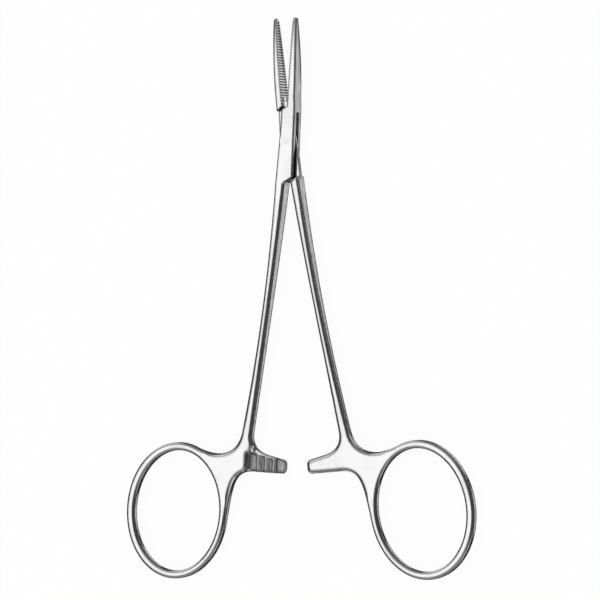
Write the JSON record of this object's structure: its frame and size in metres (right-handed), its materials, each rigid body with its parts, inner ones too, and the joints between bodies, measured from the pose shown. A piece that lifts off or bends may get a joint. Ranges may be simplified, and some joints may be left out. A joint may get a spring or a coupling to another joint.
{
  "type": "micro mosquito forceps",
  "caption": "Slim ring-handled artery forceps with a box lock, ratchet bars and straight serrated jaws.",
  "frame": {"origin": "on the pivot axis, at the flat underside of the lock, which lies on the table", "axes": "+Y runs along the instrument towards the jaw tips, +Z is the pivot axis and points up from the table, +X is to the right"},
  "size_m": [0.0858, 0.1247, 0.0037],
  "materials": {
    "instrument_steel": "mirror polished stainless steel",
    "pin_steel": "stainless steel ground flush with the lock"
  },
  "bodies": {
    "slotted_half": {"box_half": "instrument_steel", "pivot_pin": "pin_steel"},
    "tongue_half": {"insert_half": "instrument_steel"}
  },
  "joints": [
    {"name": "lock_hinge", "type": "hinge", "parent": "slotted_half", "child": "tongue_half", "pos_m": [0, 0, 0.00185], "axis": [0, 0, 1], "range_deg": [-8.26, 36.7]}
  ]
}
